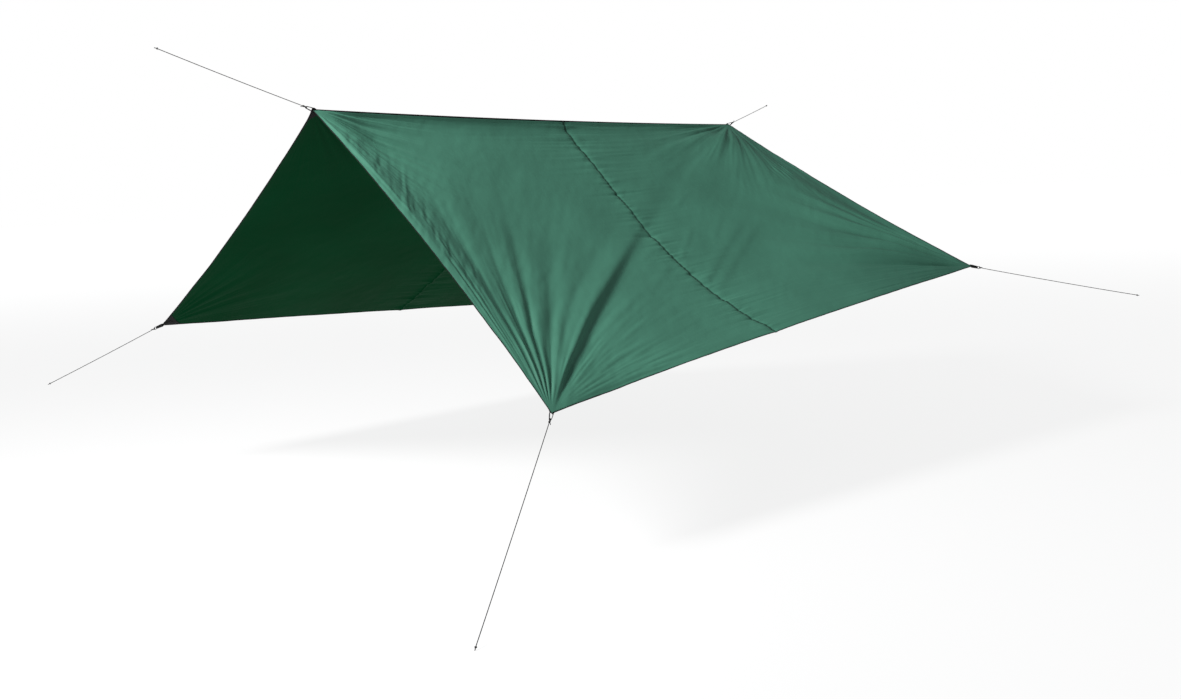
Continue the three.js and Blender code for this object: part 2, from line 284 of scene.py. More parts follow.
def near_relief(along, down):
    """Wrinkles of the near side, in metres outwards."""
    up = SLOPE_LENGTH - down
    back = RIDGE_LENGTH - along
    h = fan(along, up, NEAR_FRONT_PLEATS, 0.0055, 0.50, 11)
    h += fan(back, up, NEAR_REAR_PLEATS, 0.0120, 0.32, 21)
    h += fan(along, down, FRONT_RIDGE_PLEATS, 0.0054, 0.21, 31)
    h += fan(back, down, REAR_RIDGE_PLEATS, 0.0056, 0.34, 41)
    for shape in (long_folds, seam_pucker, edge_shape, crinkles):
        h = h + shape(along, down)
    return h


def long_folds(along, down):
    """The diagonal fold from the front corner towards the rear of the ridge, and the folds round it."""
    y = down + 0.006 * noise(along / 0.35, down / 0.35, 51)
    h = tension_fold(along, y, (0, SLOPE_LENGTH), (1.80, 0.58), 0.0150, (0.16, 0.62))
    for start, end, width, height in NEAR_FOLDS:
        h += fold(along, y, start, end, width, height)
    return h


def seam_pucker(along, down):
    """The seam is a little shorter than the cloth, which gathers into short wrinkles across it."""
    x = along - SEAM_ALONG
    reach = np.where(x > 0, 0.16, 0.09) * (1 + 0.9 * smooth((0.5 - down) / 0.4))
    away = np.exp(-np.abs(x) / reach)
    near = np.exp(-((x / 0.035) ** 2))
    short = noise(x / 0.07 + 40, down / 0.012, 61)
    long = noise(x / 0.30 + 20, down / 0.013, 62)
    low = noise(x / 0.40 + 10, down / 0.060, 63)
    dip = -0.0055 * np.exp(-np.abs(x) / 0.013)
    return 0.0030 * near * short + 0.0030 * away * long + 0.0036 * away * low + dip


def roll_off(x, crest, height):
    """A rise from an edge to a rounded crest, and a slow fall beyond it."""
    return height * (x / crest) * np.exp(1 - x / crest)


def edge_shape(along, down):
    """The cloth rises from its free edges, most from the rear one, and leaves the ridge steeply."""
    back = RIDGE_LENGTH - along
    up = SLOPE_LENGTH - down
    v = down / SLOPE_LENGTH
    middle = smooth(v / 0.12) * smooth((1 - v) / 0.2)
    front = roll_off(along, 0.055, 0.011) - 0.008 * np.exp(-(((along - 0.23) / 0.10) ** 2))
    rear = 0.080 * (1 - np.exp(-((back / 0.17) ** 2))) * np.exp(-back / 0.6)
    inboard = smooth(along / 0.25) * smooth(back / 0.25)
    steep = 0.032 * (1 - np.exp(-down / 0.06)) * np.exp(-down / 0.35) * inboard
    eave = roll_off(up, 0.04, 0.004) * smooth(along / 0.3) * smooth(back / 0.3)
    return middle * (front + rear) - steep + eave


def crinkles(along, down):
    """Short creases left from packing, most of them beside the front edge and the rear one."""
    back = RIDGE_LENGTH - along
    v = down / SLOPE_LENGTH
    front = np.exp(-((along - 0.10) / 0.10) ** 2) * smooth((v - 0.06) / 0.1) * smooth((0.72 - v) / 0.2)
    slanted = noise((along + 0.75 * down) / 0.022, (along - 0.75 * down) / 0.12, 71)
    h = 0.0024 * front * slanted
    h += fold(along, down, (0.02, 0.67), (0.30, 0.29), (0.009, 0.009, 1.0), 0.0022)
    h += fold(along, down, (0.012, 0.03), (0.050, 0.80), (0.006, 0.014, 1.0), 0.0030, (0.05, 0.3))
    high = np.exp(-((back - 0.17) / 0.07) ** 2) * np.exp(-((down - 0.62) / 0.07) ** 2)
    h += 0.0020 * high * np.sin((along + 0.12 * down) * 2 * math.pi / 0.027)
    beside_ridge = np.exp(-((down - 0.09) / 0.07) ** 2) * smooth((along - 0.35) / 0.5)
    h += 0.0012 * beside_ridge * noise(along / 0.5, down / 0.017, 72)
    everywhere = noise((along + down) / 0.035, (along - down) / 0.11, 73)
    return h + 0.0006 * everywhere + 0.0012 * noise(along / 0.4, down / 0.22, 74)


def far_relief(along, down):
    """Wrinkles of the far side, which is pulled flatter."""
    up = SLOPE_LENGTH - down
    back = RIDGE_LENGTH - along
    h = fan(along, up, NEAR_REAR_PLEATS, 0.0020, 0.25, 111)
    h += fan(back, up, NEAR_FRONT_PLEATS, 0.0040, 0.35, 121)
    h += fan(along, down, FRONT_RIDGE_PLEATS, 0.0026, 0.24, 131)
    h += fan(back, down, REAR_RIDGE_PLEATS, 0.0040, 0.30, 141)
    h += fold(along, down, (0.35, 0.25), (2.6, 1.6), (0.06, 0.06, 1.6), -0.009)
    middle = smooth(down / 0.2) * smooth(up / 0.3)
    h += middle * (roll_off(along, 0.05, 0.008) + roll_off(back, 0.10, 0.012))
    h -= 0.012 * (1 - np.exp(-down / 0.05)) * np.exp(-down / 0.35)
    h += 0.0016 * noise(along / 0.35, down / 0.2, 151)
    h += 0.0005 * noise((along + down) / 0.06, (along - down) / 0.12, 152)
    return h + seam_pucker(along, down)


NEAR["relief"] = near_relief
FAR["relief"] = far_relief


# ---- the pitched cloth ----

def outward_of(side):
    """The direction square to a side as a whole, away from the space under the shelter."""
    slope = (side["front"] + side["rear"] - RIDGE_FRONT - RIDGE_REAR) / 2
    outward = unit(np.cross(RIDGE_REAR - RIDGE_FRONT, slope))
    return outward if outward[2] > 0 else -outward


for each_side in (NEAR, FAR):
    each_side["outward"] = outward_of(each_side)


def smooth_cloth(side, along, down):
    """The CAD's middle surface of a side."""
    u, v = along / RIDGE_LENGTH, down / SLOPE_LENGTH
    length_bow, slope_bow = 4 * u * (1 - u), 4 * v * (1 - v)
    hollow = FRONT_HOLLOW * (1 - u) - REAR_HOLLOW * u
    belly = side["belly"] * (1 + side["belly_skew"] * (2 * v - 1)) * length_bow * slope_bow
    held_u = u + (hollow * slope_bow - side["eave_draw"] * length_bow * v * v) / RIDGE_LENGTH
    held_v = v * (1 - side["eave_hollow"] / SLOPE_LENGTH * length_bow * v)
    on_ridge = RIDGE_FRONT + (RIDGE_REAR - RIDGE_FRONT) * held_u[..., None]
    on_eave = side["front"] + (side["rear"] - side["front"]) * held_u[..., None]
    places = on_ridge + (on_eave - on_ridge) * held_v[..., None]
    places[..., 2] -= RIDGE_SAG * length_bow * (1 - v) ** 2
    return places - side["outward"] * belly[..., None]


def surface_frame(surface, side, along, down, probe=0.002):
    """Unit vectors along, down and out of a surface."""
    a = unit(surface(side, along + probe, down) - surface(side, along - probe, down))
    d = unit(surface(side, along, down + probe) - surface(side, along, down - probe))
    normal = unit(np.cross(a, d))
    return a, d, normal * np.sign((normal * side["outward"]).sum(-1, keepdims=True))


def wrinkled(side, along, down):
    """Points of the wrinkled cloth. It lies flat where it is sewn to the ridge tape."""
    normal = surface_frame(smooth_cloth, side, along, down)[2]
    relief = side["relief"](along, down) * smooth(down / 0.02)
    return smooth_cloth(side, along, down) + normal * relief[..., None]


def grid_places(spans):
    """Grid places over several spans, each with its own step."""
    places = [np.linspace(a, b, int(round((b - a) / step)), endpoint=False) for a, b, step in spans]
    return np.concatenate([*places, [spans[-1][1]]])


def lay_out(side):
    """Works out the cloth on its grid, which is the canopy's and carries all that is sewn on it."""
    along, down = grid_places(GRID_ALONG), grid_places(GRID_DOWN)
    a, d = np.meshgrid(along, down, indexing="ij")
    side["grid"] = (along, down)
    side["points"] = wrinkled(side, a, d)
    side["normals"] = surface_frame(wrinkled, side, a, d, probe=0.004)[2]


def on_grid(side, values, along, down):
    """A value of the grid at any place, straight between the grid's points."""
    rows, columns = side["grid"]
    i = np.clip(np.searchsorted(rows, along, side="right") - 1, 0, len(rows) - 2)
    j = np.clip(np.searchsorted(columns, down, side="right") - 1, 0, len(columns) - 2)
    s = ((along - rows[i]) / (rows[i + 1] - rows[i]))[..., None]
    t = ((down - columns[j]) / (columns[j + 1] - columns[j]))[..., None]
    low = values[i, j] * (1 - s) + values[i + 1, j] * s
    high = values[i, j + 1] * (1 - s) + values[i + 1, j + 1] * s
    return low * (1 - t) + high * t


def cloth(side, along, down, lift=0.0):
    """Points of the pitched cloth, `lift` outside its middle."""
    along, down = np.broadcast_arrays(np.asarray(along, float), np.asarray(down, float))
    places = on_grid(side, side["points"], along, down)
    return places + lift * unit(on_grid(side, side["normals"], along, down))


for each_side in (NEAR, FAR):
    lay_out(each_side)


# ---- meshes ----

def make_piece(name, points, faces, materials, slot, uvs=None, second=None):
    """A smooth-shaded mesh. Faces marked in `second` take the second material."""
    mesh = bpy.data.meshes.new(name)
    mesh.from_pydata([tuple(p) for p in points], [], faces)
    mesh.polygons.foreach_set("use_smooth", [True] * len(mesh.polygons))
    for finish in materials:
        mesh.materials.append(finish)
    if second is not None:
        mesh.polygons.foreach_set("material_index", second)
    if uvs is not None:
        layer = mesh.uv_layers.new(name="cut")
        corners = np.zeros(len(mesh.loops), int)
        mesh.loops.foreach_get("vertex_index", corners)
        layer.data.foreach_set("uv", np.asarray(uvs, float)[corners].ravel())
    mesh.update()
    piece = bpy.data.objects.new(name, mesh)
    bpy.context.scene.collection.objects.link(piece)
    return piece


def grid_faces(rows, columns, start=0, flip=False):
    """Quads of a grid of points. Flipped or not, they are cut into triangles the same way."""
    faces = []
    for i in range(rows - 1):
        for j in range(columns - 1):
            a = start + i * columns + j
            b, c, d = a + 1, a + columns + 1, a + columns
            faces.append((a, d, c, b) if flip else (a, b, c, d))
    return faces


def grid_rim(rows, columns):
    """The points round the edge of a grid, in order."""
    rim = [(i, 0) for i in range(rows)]
    rim += [(rows - 1, j) for j in range(1, columns)]
    rim += [(i, columns - 1) for i in range(rows - 2, -1, -1)]
    rim += [(0, j) for j in range(columns - 2, 0, -1)]
    return [i * columns + j for i, j in rim]


def closed_sheet(side, top, bottom):
    """The closed body between two grids of points: its points, its faces and which are underneath."""
    rows, columns = top.shape[:2]
    count = rows * columns
    mirrored = side is FAR
    upper = grid_faces(rows, columns, flip=mirrored)
    lower = grid_faces(rows, columns, count, flip=not mirrored)
    rim = grid_rim(rows, columns)
    edge = []
    for a, b in zip(rim, rim[1:] + rim[:1]):
        edge.append((a, a + count, b + count, b) if mirrored else (a, b, b + count, a + count))
    points = np.concatenate([top.reshape(-1, 3), bottom.reshape(-1, 3)])
    return points, upper + lower + edge, [0] * len(upper) + [1] * (len(lower) + len(edge))


def tube_faces(steps, sides):
    """Faces of a tube of `steps` rings of `sides` points, closed at both ends."""
    faces = []
    for i in range(steps - 1):
        for j in range(sides):
            k = (j + 1) % sides
            faces.append((i * sides + j, i * sides + k, (i + 1) * sides + k, (i + 1) * sides + j))
    faces.append(tuple(range(sides))[::-1])
    faces.append(tuple((steps - 1) * sides + j for j in range(sides)))
    return faces


def sweep(centres, across, upright, profile):
    """A profile of (across, upright) points carried along a row of centres, with closed ends."""
    profile = np.asarray(profile, float)
    if profile.ndim == 2:
        profile = np.broadcast_to(profile, (len(centres), *profile.shape))
    points = (
        centres[:, None]
        + across[:, None] * profile[..., :1]
        + upright[:, None] * profile[..., 1:]
    )
    return points.reshape(-1, 3), tube_faces(*profile.shape[:2])


def sewn_strip(side, along, down, inwards, profile):
    """A strip that follows the cloth. Its profile is (way inwards over the cloth, height above it)."""
    across, lift = np.array(profile).T
    places = cloth(
        side,
        along[:, None] + inwards[0] * across,
        down[:, None] + inwards[1] * across,
        np.broadcast_to(lift, (len(along), len(lift)))[..., None],
    )
    return places.reshape(-1, 3), tube_faces(len(along), len(profile))


def merged(parts):
    """Several (points, faces) as one."""
    points, faces, count = [], [], 0
    for some_points, some_faces in parts:
        points.append(some_points)
        faces += [tuple(count + k for k in face) for face in some_faces]
        count += len(some_points)
    return np.concatenate(points), faces


def facing_out(piece):
    """Turns every closed body's faces outwards."""
    body = bmesh.new()
    body.from_mesh(piece.data)
    bmesh.ops.recalc_face_normals(body, faces=body.faces)
    body.to_mesh(piece.data)
    body.free()
    return piece


def path_frames(path):
    """Tangents and two square directions that don't twist along a path."""
    tangents = unit(np.gradient(path, axis=0))
    start = np.array((0.0, 0.0, 1.0)) if abs(tangents[0][2]) < 0.9 else np.array((1.0, 0.0, 0.0))
    across = [unit(np.cross(tangents[0], start))]
    for tangent in tangents[1:]:
        last = across[-1]
        across.append(unit(last - tangent * (last @ tangent)))
    across = np.array(across)
    return tangents, across, np.cross(tangents, across)


def resample(path, step):
    """The same path with points `step` apart."""
    path = np.asarray(path, float)
    reach = np.concatenate([[0], np.cumsum(np.linalg.norm(np.diff(path, axis=0), axis=1))])
    places = np.linspace(0, reach[-1], max(2, int(round(reach[-1] / step)) + 1))
    return np.stack([np.interp(places, reach, path[:, k]) for k in range(3)], -1)


def braid_profile(steps, step, radius, sides=12):
    """Circles whose radius swells where strands cross on a braided cord."""
    angle = np.linspace(0, 2 * math.pi, sides, endpoint=False)
    turn = 0.9 * step / radius * np.arange(steps)[:, None]
    strands = np.maximum(np.cos(3 * angle + turn), np.cos(3 * angle - turn))
    swell = radius * (0.93 + 0.07 * strands)
    return np.stack([swell * np.cos(angle), swell * np.sin(angle)], -1)


def braided(path, radius=CORD_DIAMETER / 2, step=0.0012):
    """A braided cord along a path, with rounded ends."""
    path = resample(path, step)
    profile = braid_profile(len(path), step, radius)
    taper = np.ones(len(path))
    taper[[0, -1]], taper[[1, -2]] = 0.45, 0.85
    _, across, upright = path_frames(path)
    return sweep(path, across, upright, profile * taper[:, None, None])


# ---- materials ----

def linear(red, green, blue):
    """Shown 0 to 255 colour values as the linear colour that a shader takes."""
    return tuple(((c / 255 + 0.055) / 1.055) ** 2.4 for c in (red, green, blue)) + (1.0,)


def start_material(name, color, roughness, specular=0.5):
    """A new material, with its node tree's nodes and links and its shader."""
    material = bpy.data.materials.new(name)
    material.use_nodes = True
    nodes, links = material.node_tree.nodes, material.node_tree.links
    shader = nodes["Principled BSDF"]
    shader.inputs["Base Color"].default_value = color
    shader.inputs["Roughness"].default_value = roughness
    shader.inputs["Specular IOR Level"].default_value = specular
    return material, nodes, links, shader


def cut_places(nodes):
    """Places on the cloth or tape as it was cut, in metres."""
    uv = nodes.new("ShaderNodeUVMap")
    uv.uv_map = "cut"
    return uv.outputs["UV"]


def object_places(nodes):
    """Places on a piece in its own frame, in metres."""
    return nodes.new("ShaderNodeTexCoord").outputs["Object"]


def noise_node(nodes, links, source, scale, detail=2.0, stretch=(1, 1, 1), turn=0.0):
    """Soft random blotches, `scale` of them to a metre."""
    mapping = nodes.new("ShaderNodeMapping")
    mapping.inputs["Scale"].default_value = stretch
    mapping.inputs["Rotation"].default_value = (0, 0, turn)
    texture = nodes.new("ShaderNodeTexNoise")
    texture.inputs["Scale"].default_value = scale
    texture.inputs["Detail"].default_value = detail
    links.new(source, mapping.inputs["Vector"])
    links.new(mapping.outputs["Vector"], texture.inputs["Vector"])
    return texture.outputs["Fac"]


def wave_node(nodes, links, source, scale, direction):
    """Even stripes across a direction."""
    texture = nodes.new("ShaderNodeTexWave")
    texture.bands_direction = direction
    texture.inputs["Scale"].default_value = scale
    links.new(source, texture.inputs["Vector"])
    return texture.outputs["Fac"]


def two_tone(nodes, links, shader, value, dark, light):
    """A colour between two, by a texture's value."""
    ramp = nodes.new("ShaderNodeValToRGB")
    for element, position, color in zip(ramp.color_ramp.elements, (0.35, 0.65), (dark, light)):
        element.position = position
        element.color = color
    links.new(value, ramp.inputs["Fac"])
    links.new(ramp.outputs["Color"], shader.inputs["Base Color"])


def rough_range(nodes, links, shader, value, low, high):
    """A roughness between two, by a texture's value."""
    spread = nodes.new("ShaderNodeMapRange")
    spread.inputs["To Min"].default_value = low
    spread.inputs["To Max"].default_value = high
    links.new(value, spread.inputs["Value"])
    links.new(spread.outputs["Result"], shader.inputs["Roughness"])


def bumps(nodes, links, shader, layers):
    """Layers of (height, strength, distance in metres), one on top of the other."""
    normal = None
    for height, strength, distance in layers:
        bump = nodes.new("ShaderNodeBump")
        bump.inputs["Strength"].default_value = strength
        bump.inputs["Distance"].default_value = distance
        links.new(height, bump.inputs["Height"])
        if normal is not None:
            links.new(normal, bump.inputs["Normal"])
        normal = bump.outputs["Normal"]
    links.new(normal, shader.inputs["Normal"])


def cloth_material(name, dark, light, roughness, specular):
    """Coated plain-weave cloth: a soft sheen, faint mottling, a fine weave and small crinkles."""
    material, nodes, links, shader = start_material(name, light, roughness, specular)
    cut = cut_places(nodes)
    mottle = noise_node(nodes, links, cut, 2.2, 4)
    two_tone(nodes, links, shader, mottle, dark, light)
    grain = noise_node(nodes, links, cut, 9, 3)
    rough_range(nodes, links, shader, grain, roughness - 0.09, roughness + 0.09)
    crinkle = noise_node(nodes, links, cut, 34, 3, (1, 0.55, 1), 0.6)
    warp = wave_node(nodes, links, cut, 330, "X")
    weft = wave_node(nodes, links, cut, 330, "Y")
    bumps(nodes, links, shader, ((crinkle, 0.22, 0.004), (warp, 0.05, 0.0003), (weft, 0.05, 0.0003)))
    return material


def tape_material():
    """Black woven polyester tape, with its ribs across and a little dust on them."""
    material, nodes, links, shader = start_material("black_tape", linear(9, 9, 9), 0.8, 0.2)
    cut = cut_places(nodes)
    dust = noise_node(nodes, links, cut, 60, 3)
    two_tone(nodes, links, shader, dust, linear(5, 5, 5), linear(14, 15, 15))
    rough_range(nodes, links, shader, dust, 0.7, 0.9)
    ribs = wave_node(nodes, links, cut, 160, "X")
    twill = wave_node(nodes, links, cut, 210, "DIAGONAL")
    bumps(nodes, links, shader, ((ribs, 0.4, 0.0004), (twill, 0.3, 0.0003)))
    return material


def cord_material():
    """Black braided cord with a fine fibre grain."""
    material, nodes, links, shader = start_material("black_cord", linear(7, 7, 8), 0.75, 0.2)
    fibre = noise_node(nodes, links, object_places(nodes), 900, 2)
    two_tone(nodes, links, shader, fibre, linear(4, 4, 5), linear(14, 14, 15))
    rough_range(nodes, links, shader, fibre, 0.65, 0.85)
    bumps(nodes, links, shader, ((fibre, 0.3, 0.0003),))
    return material


def thread_material(name, color):
    """Sewing thread with a faint twist."""
    material, nodes, links, shader = start_material(name, color, 0.6)
    twist = noise_node(nodes, links, object_places(nodes), 1500, 1)
    bumps(nodes, links, shader, ((twist, 0.3, 0.0002),))
    rough_range(nodes, links, shader, twist, 0.5, 0.7)
    return material


outer_cloth = cloth_material("outer_cloth", linear(58, 107, 89), linear(63, 115, 96), 0.62, 0.2)
# The seam's cloth is a darker copy of the outer cloth: painted shade along the seam line.
seam_cloth_painted_shade = cloth_material("seam_cloth_painted_shade", linear(26, 60, 47), linear(34, 72, 58), 0.62, 0.2)
# The underside is a much darker, more saturated copy of the cloth with almost no sheen: painted shade
# under the shelter.
inner_cloth_painted_shade = cloth_material("inner_cloth_painted_shade", linear(1, 48, 24), linear(2, 53, 28), 0.55, 0.01)
black_tape = tape_material()
black_cord = cord_material()
black_thread = thread_material("black_thread", linear(16, 17, 17))
green_thread = thread_material("green_thread", linear(44, 86, 68))


# ---- cords and knots ----

def eye_of(name):
    """The middle of the webbing's eye, where a line's hitch turns."""
    return np.array(joints[f"{name}_hitch_swing"]["pos_m"])


def knot_of(name):
    """Where a line leaves its hitch."""
    return np.array(joints[f"{name}_line_swing"]["pos_m"])


def end_of(name):
    """The middle of a line's stopper knot."""
    low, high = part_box(f"{name}_end_knot")
    return np.array((low + high) / 2)


def line_route(name, count=33):
    """The CAD's route of a taut line, from its hitch to its stopper knot."""
    start, end = knot_of(name), end_of(name)
    t = np.linspace(0, 1, count)[:, None]
    route = start + (end - start) * t
    route[:, 2] -= (4 * t * (1 - t) * CORD_SAG * np.linalg.norm(end - start))[:, 0]
    return route


def line_axes(name):
    """Directions along a line, across it, and nearest to the eye's axis."""
    pull = unit(end_of(name) - eye_of(name))
    axis = np.array(joints[f"{name}_hitch_swing"]["axis"])
    axis = unit(axis - pull * (axis @ pull))
    return pull, np.cross(axis, pull), axis


def in_axes(origin, axes, places):
    """Places given along three axes from an origin, in the frame."""
    return origin + np.asarray(places, float) @ np.array(axes)


def hitch_parts(name):
    """The cord goes through the eye, back to its own standing part, and is wrapped round it."""
    axes = line_axes(name)
    eye = eye_of(name)
    reach = np.linalg.norm(knot_of(name) - eye)
    t = np.linspace(-0.92 * math.pi, 0.92 * math.pi, 60)
    bow = 0.5 * (1 + np.cos(t))
    spread = 0.0062 * np.sin(t) * (1 - 0.25 * np.cos(t))
    ring = np.stack([reach * (1 - bow) ** 0.8 - 0.001, 0 * t, spread], -1)
    wraps = np.linspace(0, HITCH_WRAPS, 90)
    angle = 2 * math.pi * wraps
    onward = reach - 0.005 + WRAP_PITCH * wraps
    coil = np.stack([onward, WRAP_RADIUS * np.cos(angle), WRAP_RADIUS * np.sin(angle)], -1)
    tail = [(reach + 0.0035, WRAP_RADIUS, 0), (reach + 0.007, 0.0045, 0.001)]
    tail += [(reach + 0.014, 0.007, 0.001)]
    core = [(reach - 0.006, 0, 0), (reach + 0.006, 0, 0)]
    parts = [braided(in_axes(eye, axes, ring))]
    parts.append(braided(in_axes(eye, axes, coil), KNOT_CORD_RADIUS))
    parts.append(braided(in_axes(eye, axes, tail), KNOT_CORD_RADIUS))
    parts.append(braided(in_axes(eye, axes, core)))
    return parts


def stopper_parts(name):
    """An overhand knot pulled tight, with a short sealed tail."""
    axes = line_axes(name)
    end = end_of(name)
    t = np.linspace(0.15 * math.pi, 1.85 * math.pi, 90)
    one_way, other_way = np.sin(t) + 2 * np.sin(2 * t), np.cos(t) - 2 * np.cos(2 * t)
    trefoil = np.stack([1.2 * np.sin(3 * t), one_way, other_way], -1)
    tail = [(0, 0, 0), (0.006, 0.0005, 0), (0.012, 0.001, -0.001)]
    parts = [braided(in_axes(end, axes, 0.00115 * trefoil), KNOT_CORD_RADIUS)]
    parts.append(braided(in_axes(end, axes, tail)))
    return parts


def cord_piece(name, parts, body):
    """A piece of black cord that rides on a body."""
    piece = make_piece(name, *merged(parts), [black_cord], "cord")
    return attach(facing_out(piece), body)


def add_line(name):
    """A guy line: hitch, taut cord and stopper knot."""
    hitch = cord_piece(f"{name}_hitch_knot", hitch_parts(name), f"{name}_hitch")
    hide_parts(f"{name}_hitch")
    stopper = cord_piece(f"{name}_stopper_knot", stopper_parts(name), f"{name}_line")
    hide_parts(f"{name}_end_knot")
    route = line_route(name)
    cord = cord_piece(f"{name}_cord", [braided(route)], f"{name}_line")
    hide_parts(f"{name}_line")


# ---- canopy, seams, bindings and patches ----

def bend_at_ridge(piece):
    """Bakes the piece's placement into its points and leaves it where it is."""
    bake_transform(piece)
    return piece


def add_canopy(side):
    """One side of the canopy: a continuous sheet from ridge to eave, both widths of cloth together."""
    along, down = np.meshgrid(*side["grid"], indexing="ij")
    half = side["normals"] * CLOTH_THICKNESS / 2
    points, faces, under = closed_sheet(side, side["points"] + half, side["points"] - half)
    uvs = np.tile(np.stack([along, down], -1).reshape(-1, 2), (2, 1))
    name = side["name"]
    # The underside and edges take the darker inner cloth, which is painted shade.
    finishes = [outer_cloth, inner_cloth_painted_shade]
    piece = make_piece(f"{name}_canopy", points, faces, finishes, "coated_cloth", uvs, under)
    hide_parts(f"front_{name}_panel", f"rear_{name}_panel")
    return bend_at_ridge(piece)


def strip_uvs(centres, sides):
    """Lengthways and crossways places in metres for a swept strip."""
    reach = np.concatenate([[0], np.cumsum(np.linalg.norm(np.diff(centres, axis=0), axis=1))])
    around = np.linspace(0, 0.02, sides)  # about as far as it is round a strip
    return np.stack([np.repeat(reach, sides), np.tile(around, len(centres))], -1)


def seam_profile():
    """The outer and inner faces of a flat-felled seam: a band with two sunk rows of stitching."""
    half = SEAM_WIDTH / 2
    left = [(-half, 0.0003), (-half + 0.0008, 0.0013), (-SEAM_STITCHING - 0.0008, 0.0016)]
    left += [(-SEAM_STITCHING, 0.0011), (-SEAM_STITCHING + 0.0008, 0.0017)]
    outer = left + [(0, 0.0019)] + [(-x, z) for x, z in left[::-1]]
    inner = [(half - 0.001, -0.0012), (0, -0.0014), (-half + 0.001, -0.0012)]
    return outer, inner


def add_seam(side):
    """The seam that joins the two widths of cloth, and its stitching."""
    down = np.arange(0.004, SLOPE_LENGTH - BINDING_WIDTH, 0.006)
    along = np.full_like(down, SEAM_ALONG)
    outer, inner = seam_profile()
    profile = outer + inner
    points, faces = sewn_strip(side, along, down, (1, 0), profile)
    under = [int(k % len(profile) >= len(outer) - 1) for k in range(len(faces))]
    uvs = strip_uvs(cloth(side, along, down), len(profile))
    name = f"{side['name']}_felled_seam"
    # The seam band's outer face is painted darker than the cloth beside it, as painted shade.
    piece = make_piece(name, points, faces, [seam_cloth_painted_shade, inner_cloth_painted_shade], "coated_cloth", uvs, under)
    facing_out(piece)
    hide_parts(f"{side['name']}_centre_seam")
    bend_at_ridge(piece)
    rows = [stitch_row(side, along + x, down, 0.0013) for x in (-SEAM_STITCHING, SEAM_STITCHING)]
    name = f"{side['name']}_seam_stitching"
    stitching = make_piece(name, *merged(rows), [green_thread], "coated_cloth")
    return [piece, bend_at_ridge(facing_out(stitching))]


def stitch_row(side, along, down, lift):
    """A row of stitches: short beads of thread, each sunk into the cloth at both ends."""
    path = resample(cloth(side, along, down, lift), STITCH_PITCH)
    tangents, across, upright = path_frames(path)
    half = 0.36 * STITCH_PITCH
    round_bead = [(STITCH_RADIUS * x, STITCH_RADIUS * y) for x, y in ((1, 0), (0, 1), (-1, 0), (0, -1))]
    faces = [(0, 2, 1), (0, 3, 2), (0, 4, 3), (0, 1, 4), (5, 1, 2), (5, 2, 3), (5, 3, 4), (5, 4, 1)]
    parts = []
    for centre, t, a, u in zip(path, tangents, across, upright):
        ring = [centre + x * a + y * u for x, y in round_bead]
        parts.append((np.array([centre - t * half, *ring, centre + t * half]), faces))
    return merged(parts)


def flap_profile(width):
    """One flap of the binding, from its hem to the fold over the edge."""
    inside = ((width, 0.0006), (width - 0.0008, 0.0012), (0.45 * width, 0.0013))
    return [*inside, (0.0006, 0.0012), (-0.0006, 0.0008)]


def binding_profile():
    """Tape folded over the cloth's edge, wider underneath. Places are (way into the cloth, height)."""
    underneath = [(x, -z) for x, z in flap_profile(BINDING_WIDTH)]
    return flap_profile(OUTER_FLAP) + [(-0.001, 0)] + underneath[::-1]


def edge_of(edge):
    """Places along one edge of a side."""
    if edge == "eave":
        along = np.arange(BINDING_WIDTH, RIDGE_LENGTH - BINDING_WIDTH, 0.008)
        return along, np.full_like(along, SLOPE_LENGTH)
    down = np.append(np.arange(0.004, SLOPE_LENGTH, 0.008), SLOPE_LENGTH)
    return np.full_like(down, 0 if edge == "front" else RIDGE_LENGTH), down


def add_binding(side, edge):
    """The tape that binds one edge of a side, and its stitching on both faces."""
    along, down = edge_of(edge)
    inwards = {"eave": (0, -1), "front": (1, 0), "rear": (-1, 0)}[edge]
    profile = binding_profile()
    points, faces = sewn_strip(side, along, down, inwards, profile)
    uvs = strip_uvs(cloth(side, along, down), len(profile))
    name = side["name"]
    node = f"{name}_eave_binding" if edge == "eave" else f"{edge}_{name}_gable_binding"
    piece = make_piece(f"{node}_tape", points, faces, [black_tape], "tape", uvs)
    facing_out(piece)
    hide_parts(node)
    inset = 0.75 * BINDING_WIDTH
    along, down = along + inset * inwards[0], down + inset * inwards[1]
    rows = [stitch_row(side, along, down, lift) for lift in (0.0006, -0.0014)]
    stitching = make_piece(f"{node}_stitching", *merged(rows), [black_thread], "tape")
    return [bend_at_ridge(piece), bend_at_ridge(facing_out(stitching))]


def patch_places(leg, count=33):
    """A triangle of cloth with its right angle at the corner and a slightly hollow long edge."""
    s = np.linspace(0, 1, count)[:, None] + np.zeros(count)
    t = np.linspace(0, 1, count)[None] + np.zeros((count, 1))
    hollow = 1 - 0.28 * t * (1 - t)
    return leg * s * hollow * (1 - t), leg * s * hollow * t


def add_patch(side, end, at_ridge):
    """A reinforcing patch under the cloth, at a corner or beside the end of the ridge."""
    leg = RIDGE_PATCH_LEG if at_ridge else CORNER_PATCH_LEG
    along, away = (places + PATCH_INSET for places in patch_places(leg))
    along = along if end == "front" else RIDGE_LENGTH - along
    down = away if at_ridge else SLOPE_LENGTH - away
    faces_of_patch = (cloth(side, along, down, lift) for lift in (PATCH_TOP, PATCH_UNDERSIDE))
    points, faces, _ = closed_sheet(side, *faces_of_patch)
    uvs = np.tile(np.stack([along, down], -1).reshape(-1, 2), (2, 1))
    name = side["name"]
    node = f"{end}_ridge_{name}_patch" if at_ridge else f"{name}_{end}_corner_patch"
    piece = make_piece(f"{node}_cloth", points, faces, [black_tape], "tape", uvs)
    facing_out(piece)
    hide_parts(node)
    beside_long_edge = stitch_row(side, along[-2], down[-2], PATCH_STITCHING)
    stitching = make_piece(f"{node}_stitching", *beside_long_edge, [black_thread], "tape")
    return [bend_at_ridge(piece), bend_at_ridge(facing_out(stitching))]


